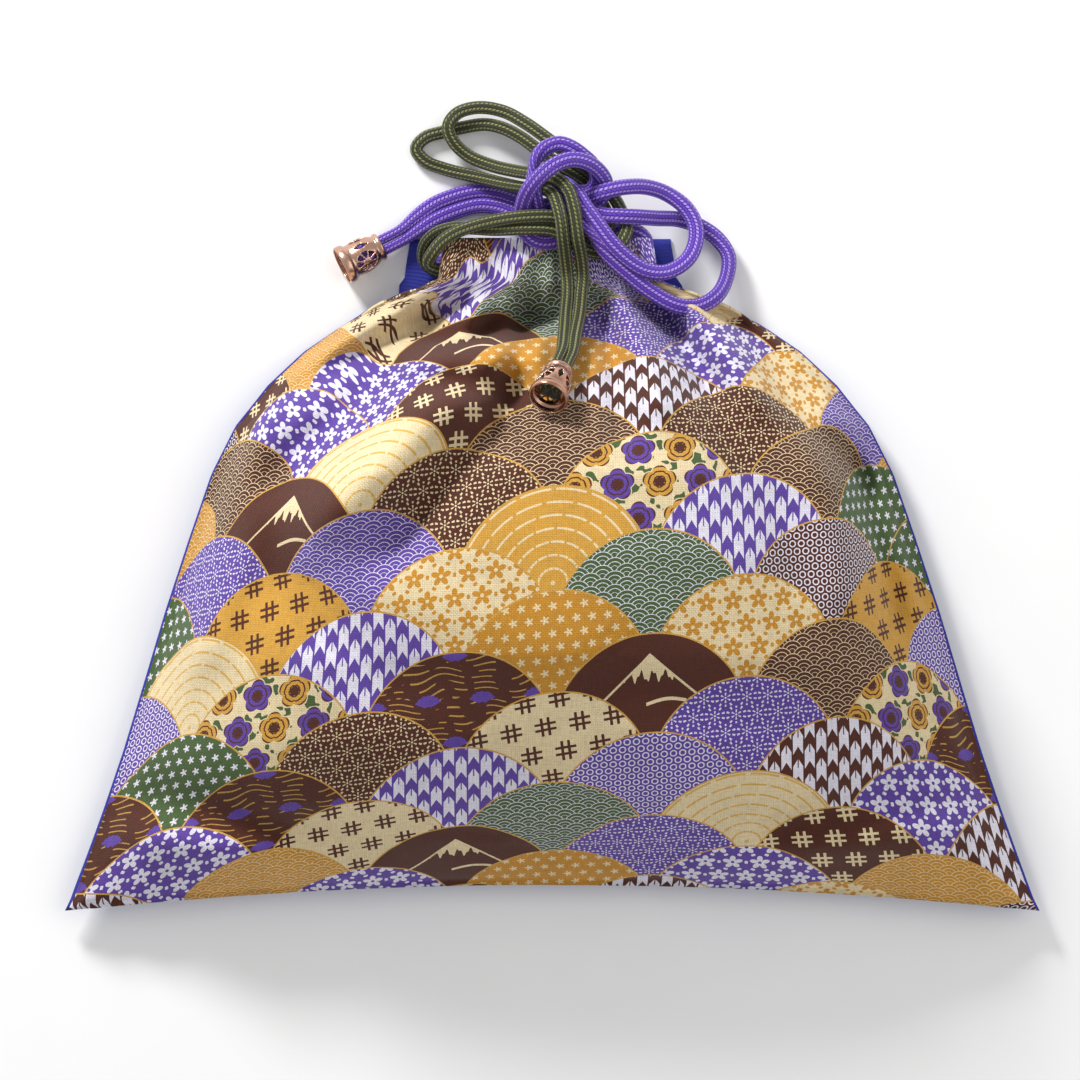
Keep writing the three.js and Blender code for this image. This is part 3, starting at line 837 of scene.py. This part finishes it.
# The outline and the crown of the filled pouch, as in the frame. Millimetres.
ROW_Y = [-78, -75, -71, -64, -54, -40, -24, -6, 12, 28, 40, 50, 58, 64, 68.5, 72, 73, 74, 78, 84]
HALF = [121.5, 120, 118.5, 115.8, 112, 107, 102, 96.5, 90.5, 85]
HALF += [79, 71, 62, 52.5, 43.5, 32, 29, 27.5, 27, 26]
BOW = [6.5, 6.5, 6.4, 6, 5.4, 4.6, 4, 3.4, 3, 3, 3, 3, 2.6, 2, 1.4, 0.6, 0, 0, 0, 0]
CROWN_Y = [-78, -73, -66, -56, -40, -20, 5, 25, 42, 55, 64, 70, 73, 84]
CROWN = [0, 8, 19, 30, 41, 48.5, 50.5, 47, 37, 24, 13, 7, 4.6, 4.6]
SEAM_HEIGHT = 9
NECK_HEIGHT = 13.6
NECK_FLAT = 50
CLOTH = 0.8
LINING = 0.4
NECK_RISE = (64, 73)
FOLD_STRENGTH = 1.6
FOLD_FADE = 1.6
PLEAT_DEPTH = 2.4
CORD_HOLLOW = 3.2
SEAM_DROP = 2.0
BLUR_ROUNDS = 60

# Folds pressed into the front: start, end, half width, and height (below 0 for a valley).
FOLDS = (
    ((-28, 59), (-3, 63), 3.4, -6.5),
    ((-32, 53), (-4, 55), 4.6, 4.6),
    ((-36, 49), (-10, 46), 4.5, -2.6),
    ((-53, 18), (-27, 43), 8.0, 6.5),
    ((-38, 10), (-15, 36), 5.5, -4.0),
    ((-68, 26), (-44, 48), 5.5, -4.6),
    ((-78, 36), (-58, 54), 5.0, 3.0),
    ((-82, 20), (-74, 34), 5.0, 2.6),
    ((22, 74), (37, 50), 4.6, -7.0),
    ((31, 72), (50, 48), 4.8, 5.0),
    ((38, 70), (64, 50), 4.2, -4.2),
    ((16, 70), (25, 44), 4.4, 3.2),
    ((13, 66), (17, 38), 3.8, -3.6),
    ((-7, 66), (-12, 36), 4.0, -3.0),
    ((-12, 72), (-20, 62), 3.4, 3.6),
    ((-19, 73), (-31, 64), 3.0, -3.6),
    ((-24, 71), (-58, 60), 4.2, 3.6),
    ((-26, 67), (-66, 48), 4.0, -3.4),
    ((54, 50), (78, 26), 4.6, -4.6),
    ((78, 28), (84, -6), 4.6, -4.4),
    ((66, 34), (72, 0), 6.5, 3.4),
    ((44, 34), (60, 6), 8.0, -2.4),
    ((88, -4), (94, -34), 5.0, -2.2),
    ((-84, 34), (-97, -8), 4.6, -4.4),
    ((-74, 20), (-86, -14), 6.0, 3.2),
    ((-66, -2), (-42, -24), 9.0, -2.0),
    ((-30, -8), (4, -18), 10.0, 1.4),
    ((20, -28), (62, -38), 9.0, -1.8),
    ((-106, -50), (-60, -64), 6.5, -3.0),
    ((-98, -62), (-50, -72), 5.0, 1.6),
    ((102, -46), (56, -62), 6.5, -3.0),
    ((96, -60), (40, -71), 5.0, 1.6),
    ((-18, -64), (30, -68), 6.0, -2.0),
)


def crown(u):
    """How much of the crown's height is left, from 1 in the middle to 0 at the sides."""
    inside = np.minimum(1, np.abs(u) / 0.97)
    return (1 - inside**3) ** 0.8


def seam_height(y):
    return mix(SEAM_HEIGHT, 4.1, ease(y, 46, 68))


def fold_height(x, y):
    """The sum of the listed folds, each fading towards its ends."""
    total = np.zeros_like(x)
    for (x0, y0), (x1, y1), width, height in FOLDS:
        run = np.array([x1 - x0, y1 - y0], float)
        length = np.hypot(*run)
        run /= length
        along = (x - x0) * run[0] + (y - y0) * run[1]
        across = (x - x0) * -run[1] + (y - y0) * run[0]
        past = np.maximum(0, np.maximum(-along, along - length))
        faded = np.exp(-((across / width) ** 2) - (past / (width * FOLD_FADE)) ** 2)
        total += FOLD_STRENGTH * height * faded
    return total


def rim(u, y):
    """1 along the seams and the hem, where the front and the back are sewn together."""
    beside = 1 - ease(1 - np.abs(u), 0, 0.03)
    return np.maximum(beside * (1 - ease(y, 60, 70)), 1 - ease(y, -78, -75))


def hem_pucker(x, y):
    wave = np.sin(x * 0.42 + 0.7 * np.sin(x * 0.11)) + 0.7 * np.sin(x * 0.13 + 1.2)
    return 0.5 * wave * (1 - ease(y, -78, -58))


def front_height(u, x, y):
    """The outside of the front: crown, gathers at the neck, folds, and puckers along the hem."""
    fan = ease(y, 36, 62)
    depth = PLEAT_DEPTH * fan * (1 - ease(y, 70, 73) * 0.35)
    angle = np.arctan2(x + 2, 96 - y)
    pleats = np.cos(angle * 21 + 0.8 * np.sin(angle * 5)) * depth
    belly = seam_height(y) + np.interp(y, CROWN_Y, CROWN) * crown(u)
    neck = ease(y, *NECK_RISE)
    soft = ease(1 - np.abs(u), 0.0, 0.12)
    near_cord = np.exp(-(((x - 3.5) / 8) ** 2)) * ease(y, 34, 42)
    folds = fold_height(x, y) * (1 - neck * 0.8)
    folds = np.where(folds > 0, folds * (1 - near_cord), folds)
    rise = mix(belly, NECK_HEIGHT + 0.3, neck)
    bunched = 1.1 + 1.1 * np.cos(x * 0.72 + 0.9 * np.sin(x * 0.31))
    bunched = neck * bunched * (1 - ease(y, 78, 82))
    clear = 1 - np.exp(-(((x - 5.5) / 5.5) ** 4))
    sewn = hem_pucker(x, y) - SEAM_DROP * rim(u, y)
    pleats = pleats * (1 - neck) * (1 - near_cord) - CORD_HOLLOW * near_cord * (1 - neck)
    height = rise + soft * (folds + pleats) + bunched * clear + sewn
    return np.maximum(height, back_height(u, x, y) + mix(1.7, 3.8, soft))


def back_height(u, x, y):
    """The outside of the back: flat on the table, lifting to its seams."""
    beside = ease(1 - np.abs(u), 0, 0.24) * ease(y + 78, 0, 24)
    neck = ease(y, *NECK_RISE)
    sewn = hem_pucker(x, y) * (1 - beside) + 0.3 * rim(u, y)
    return (seam_height(y) - 4) * (1 - mix(beside, 1, neck)) + 0.02 + sewn


def cloth_grid(columns, rows, y_range, half_extra, shift, inset, height):
    """A cloth over a grid that is closer at the sides, with its flat cut in the UV map."""
    bm = bmesh.new()
    bmesh.ops.create_grid(bm, x_segments=columns, y_segments=rows, size=1)
    uv = bm.loops.layers.uv.new("flat")
    bm.verts.ensure_lookup_table()
    s = np.array([vert.co.x for vert in bm.verts])
    t = np.array([vert.co.y for vert in bm.verts])
    u = np.sin(s * math.pi / 2) * 0.55 + s * 0.45
    y = mix(y_range[0], y_range[1], (t + 1) / 2)
    neck = ease(y, *NECK_RISE)
    half = np.interp(y, ROW_Y, HALF) * inset + half_extra * ease(y, 70.5, 73.5)
    x = shift * neck + u * half
    z = height(u * inset, x, y)
    place_y = y - np.interp(y, ROW_Y, BOW) * (u * inset) ** 2
    order = np.lexsort((s, t))
    grid = np.stack([x, place_y, z], 1)[order].reshape(rows + 1, columns + 1, 3)
    flat = flat_cut(softened(grid), y_range)
    flat_by_vert = np.zeros((len(order), 2))
    flat_by_vert[order] = flat.reshape(-1, 2)
    for vert, spot in zip(bm.verts, np.stack([x, place_y, z], 1) * MM):
        vert.co = spot
    for face in bm.faces:
        for loop in face.loops:
            loop[uv].uv = flat_by_vert[loop.vert.index] * MM
    bmesh.ops.recalc_face_normals(bm, faces=bm.faces)
    return bm


def softened(grid):
    """The grid with its small folds blurred away, so that the print runs evenly over them."""
    for _ in range(BLUR_ROUNDS):
        inner = grid[1:-1, :-2, 2] + grid[1:-1, 2:, 2] + grid[:-2, 1:-1, 2] + grid[2:, 1:-1, 2]
        grid[1:-1, 1:-1, 2] = inner / 4
    return grid


def flat_cut(grid, y_range):
    """Where each point lies on the flat cloth: run lengths across, and up from the middle."""
    across = np.linalg.norm(np.diff(grid, axis=1), axis=2)
    along = np.concatenate([np.zeros((grid.shape[0], 1)), np.cumsum(across, axis=1)], axis=1)
    middle = along[:, grid.shape[1] // 2][:, None]
    along = along - middle
    y = np.linspace(y_range[0], y_range[1], grid.shape[0])[:, None]
    end = np.abs(along).max(axis=1)[:, None]
    gathered = mix(1, np.maximum(1, NECK_FLAT / end), ease(y, 46, 74))
    up = np.linalg.norm(np.diff(grid, axis=0), axis=2)
    risen = np.concatenate([np.zeros((1, grid.shape[1])), np.cumsum(up, axis=0)], axis=0)
    zero = int(np.argmin(np.abs(y[:, 0])))
    risen = risen - risen[zero : zero + 1]
    return np.stack([along * gathered, risen], 2)


def turn_up(bm, up):
    """Makes the open sheet's faces look up or down."""
    total = sum(face.normal.z for face in bm.faces)
    if (total > 0) != up:
        bmesh.ops.reverse_faces(bm, faces=bm.faces)


def finish_cloth(name, bm, material, thickness, up, replaced, slack=0.0):
    turn_up(bm, up)
    piece = add_mesh(name, bm)
    piece.data.materials.append(material)
    if slack:
        settle(piece, slack)
    wall = piece.modifiers.new("wall", "SOLIDIFY")
    wall.thickness = thickness * MM
    wall.offset = -1
    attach(piece, "pouch")
    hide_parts(replaced)
    return piece


SIM_FRAMES = 20
PRESSURE = 1.6
MOST_MOVED = 5.0
FRONT_SLACK = 0.12


def weight_group(piece, name, weights):
    group = piece.vertex_groups.new(name=name)
    for index, weight in enumerate(weights):
        group.add([index], float(weight), "REPLACE")
    return group.name


def settle(piece, slack):
    """Lets the cloth fill out and crumple between its held edges, and keeps the result."""
    count = len(piece.data.vertices)
    start = np.empty(count * 3)
    piece.data.vertices.foreach_get("co", start)
    start = start.reshape(-1, 3)
    x, y, z = (start / MM).T
    side = np.abs(x) / np.interp(y, ROW_Y, HALF)
    held = np.maximum(1 - ease(1 - side, 0.0, 0.03), 1 - ease(y, -79, -74))
    held = np.maximum(held, ease(y, 63, 68))
    held = np.maximum(held, np.exp(-(((x - 3.5) / 9) ** 2)) * ease(y, 34, 40))
    loose = mix(0.25, 1.0, ease(y, 0, 58))
    cloth = piece.modifiers.new("settle", "CLOTH")
    cloth.settings.vertex_group_mass = weight_group(piece, "held", held)
    cloth.settings.vertex_group_shrink = weight_group(piece, "loose", loose)
    cloth.settings.shrink_min = 0.0
    cloth.settings.shrink_max = -slack
    cloth.settings.quality = 5
    cloth.settings.mass = 0.2
    cloth.settings.tension_stiffness = 12
    cloth.settings.compression_stiffness = 12
    cloth.settings.shear_stiffness = 4
    cloth.settings.bending_stiffness = 0.01
    cloth.settings.air_damping = 3
    cloth.settings.use_pressure = True
    cloth.settings.uniform_pressure_force = PRESSURE
    cloth.settings.effector_weights.gravity = 0
    cloth.collision_settings.use_collision = False
    cloth.point_cache.frame_start = 1
    cloth.point_cache.frame_end = SIM_FRAMES
    for step in range(1, SIM_FRAMES + 1):
        bpy.context.scene.frame_set(step)
    shown = piece.evaluated_get(bpy.context.evaluated_depsgraph_get())
    moved = np.empty(count * 3)
    shown.data.vertices.foreach_get("co", moved)
    moved = moved.reshape(-1, 3) - start
    far = np.linalg.norm(moved, axis=1)[:, None]
    limit = MOST_MOVED * MM
    moved *= limit * np.tanh(far / limit) / np.maximum(far, 1e-9)
    piece.modifiers.remove(cloth)
    piece.data.vertices.foreach_set("co", (start + moved).ravel())
    piece.data.update()
    bpy.context.scene.frame_set(1)


# ---------------------------------------------------------------- beads

BEAD_RINGS = ((1.7, 50.4, 43.4), (-42.9, 82.2, 3.8))
BEAD_MOUTHS = ((-1.2, 43.4, 51.8), (-52.9, 77, 5.35))
BEAD_WALL = 0.55
BEAD_CUTS = 46
BEAD_SIDES = 120
WINDOW_SMOOTHINGS = 2
BEAD_PROFILE = (
    (3.05, 0.0), (3.5, 0.15), (3.62, 0.6), (3.5, 1.1), (3.3, 1.3), (3.34, 1.6), (3.62, 2.1),
    (4.0, 3.0), (4.3, 4.2), (4.42, 5.6), (4.36, 7.0), (4.22, 8.3), (4.3, 8.8), (4.75, 9.2),
    (4.98, 9.6), (5.02, 10.3), (4.98, 11.0), (4.8, 11.3), (4.5, 11.3),
)


def window(angle, z):
    """Where the filigree is open: three wheels of eight gaps, and a leaf between each pair."""
    wheel = round(angle / (2 * math.pi / 3))
    around = (angle - wheel * 2 * math.pi / 3) * 4.4
    up = z - 5.2
    far = math.hypot(around, up)
    spoke = math.atan2(up, around) / (math.pi / 4)
    gap = abs(spoke - round(spoke))
    if 1.05 < far < 2.75:
        return gap * far * (math.pi / 4) < far * 0.33 - 0.12
    leaf = abs(abs(around) - 4.6) / 0.75 + abs(up) / 2.1
    return leaf < 1


def make_bead(index, name, body, material):
    ring, mouth = Vector(BEAD_RINGS[index]), Vector(BEAD_MOUTHS[index])
    bm = bmesh.new()
    profile = np.array(BEAD_PROFILE)
    run = np.r_[0, np.cumsum(np.hypot(*np.diff(profile, axis=0).T))]
    cuts = np.linspace(0, run[-1], BEAD_CUTS)
    last = None
    chain = []
    radii = np.interp(cuts, run, profile[:, 0])
    heights = np.interp(cuts, run, profile[:, 1])
    for radius, z in zip(radii, heights):
        vert = bm.verts.new((radius, 0, z))
        if last:
            chain.append(bm.edges.new((last, vert)))
        last = vert
    bmesh.ops.spin(
        bm,
        geom=chain + list(bm.verts),
        axis=(0, 0, 1),
        cent=(0, 0, 0),
        angle=2 * math.pi,
        steps=BEAD_SIDES,
        use_merge=True,
    )
    holes = []
    for face in bm.faces:
        centre = face.calc_center_median()
        if window(math.atan2(centre.y, centre.x), centre.z):
            holes.append(face)
    bmesh.ops.delete(bm, geom=holes, context="FACES")
    for _ in range(WINDOW_SMOOTHINGS):
        edge = [vert for vert in bm.verts if vert.is_boundary and 1.9 < vert.co.z < 8.8]
        bmesh.ops.smooth_vert(
            bm, verts=edge, factor=0.4, use_axis_x=True, use_axis_y=True, use_axis_z=True
        )
    bmesh.ops.recalc_face_normals(bm, faces=bm.faces)
    outward = 0
    for face in bm.faces:
        outward += face.normal.dot(Vector((*face.calc_center_median().xy, 0)))
    if outward < 0:
        bmesh.ops.reverse_faces(bm, faces=bm.faces)
    turn = Vector((0, 0, 1)).rotation_difference((mouth - ring).normalized())
    placing = Matrix.Translation(ring * MM) @ turn.to_matrix().to_4x4() @ Matrix.Scale(MM, 4)
    bmesh.ops.transform(bm, matrix=placing, verts=bm.verts)
    piece = add_mesh(name, bm)
    piece.data.materials.append(material)
    wall = piece.modifiers.new("wall", "SOLIDIFY")
    wall.thickness = BEAD_WALL * MM
    wall.offset = -1
    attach(piece, body)
    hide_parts(body)
    return piece


# ---------------------------------------------------------------- the pouch

rose_gold = metal_material()
beads = {
    "olive": make_bead(0, "olive_bead_filigree", "olive_bead", rose_gold),
    "violet": make_bead(1, "violet_bead_filigree", "violet_bead", rose_gold),
}

CORD_PAINTS = {
    "olive": (OLIVE_ROUTE, 3.3, paint(46, 46, 16), paint(150, 156, 84)),
    "violet": (VIOLET_ROUTE, 4.0, paint(98, 50, 190), paint(186, 160, 248)),
}
for colour, (route, full_width, ground, fleck) in CORD_PAINTS.items():
    cord = make_cord(f"{colour}_braid", route, full_width)
    cord.data.materials.append(nylon_material(f"{colour}_nylon", ground, fleck))
    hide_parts(f"{colour}_cord")

print_cotton = print_material()
blue_cotton = plain_material()

CLOTH_RUN = (-78, 84)
LINING_RUN = (-74, 83.5)

front_bm = cloth_grid(
    190, 160, CLOTH_RUN, half_extra=0, shift=-1, inset=1, height=front_height
)
front = finish_cloth(
    "front_cloth",
    front_bm,
    print_cotton,
    thickness=CLOTH,
    up=True,
    replaced="front_panel",
    slack=FRONT_SLACK,
)
back_bm = cloth_grid(
    120, 100, CLOTH_RUN, half_extra=6.5, shift=-3, inset=1.006, height=back_height
)
back = finish_cloth(
    "back_cloth",
    back_bm,
    blue_cotton,
    thickness=CLOTH,
    up=False,
    replaced="back_panel",
)


def lining_height(u, x, y):
    inner = front_height(u, x, y) - 1.6 - 1.4 * ease(y, 46, 60)
    inner = mix(inner, NECK_HEIGHT - 0.8 - 3.1, ease(y, 66, 73))
    return np.maximum(inner, back_lining_height(u, x, y) + 0.6)


def back_lining_height(u, x, y):
    return back_height(u, x, y) + mix(1.5, 4.1, ease(y, 66, 73))


front_lining_bm = cloth_grid(
    100, 80, LINING_RUN, half_extra=-6.4, shift=-2.5, inset=0.96, height=lining_height
)
front_lining = finish_cloth(
    "front_lining_cloth",
    front_lining_bm,
    blue_cotton,
    thickness=LINING,
    up=True,
    replaced="front_lining",
)
back_lining_bm = cloth_grid(
    100, 80, LINING_RUN, half_extra=-6.4, shift=-2.5, inset=0.96, height=back_lining_height
)
back_lining = finish_cloth(
    "back_lining_cloth",
    back_lining_bm,
    blue_cotton,
    thickness=LINING,
    up=False,
    replaced="back_lining",
)

# ---------------------------------------------------------------- table and light


TABLE_HALF = 3
WORLD_LIGHT = 0.56


def table_top():
    bm = bmesh.new()
    bmesh.ops.create_grid(bm, x_segments=2, y_segments=2, size=TABLE_HALF)
    obj = add_mesh("table", bm)
    material, tree, shader = new_material("pale_table")
    place_of = tree.nodes.new("ShaderNodeTexCoord").outputs["Object"]
    patches = place(tree, HANDLING, Place=place_of)["Patches"]
    pale = blend_colours(tree, patches, (0.92, 0.92, 0.92, 1), (0.95, 0.95, 0.95, 1))
    plug(tree, pale, shader.inputs["Base Color"])
    shader.inputs["Roughness"].default_value = 0.9
    obj.data.materials.append(material)


def soft_box(name, place_at, aim, size, power):
    light = bpy.data.objects.new(name, bpy.data.lights.new(name, "AREA"))
    bpy.context.scene.collection.objects.link(light)
    light.location = place_at
    light.rotation_euler = (Vector(aim) - Vector(place_at)).to_track_quat("-Z", "Y").to_euler()
    light.data.shape = "RECTANGLE"
    light.data.size = size
    light.data.size_y = size
    light.data.energy = power


def studio():
    world = bpy.data.worlds.new("studio")
    bpy.context.scene.world = world
    world.use_nodes = True
    sky = world.node_tree.nodes["Background"]
    sky.inputs["Color"].default_value = (1, 1, 1, 1)
    sky.inputs["Strength"].default_value = WORLD_LIGHT
    soft_box("key", (-0.5, 0.85, 0.5), (0, 0, 0.02), 0.25, 12)
    soft_box("fill", (0.8, 0.1, 0.9), (0, 0, 0.02), 0.9, 3)


table_top()
studio()
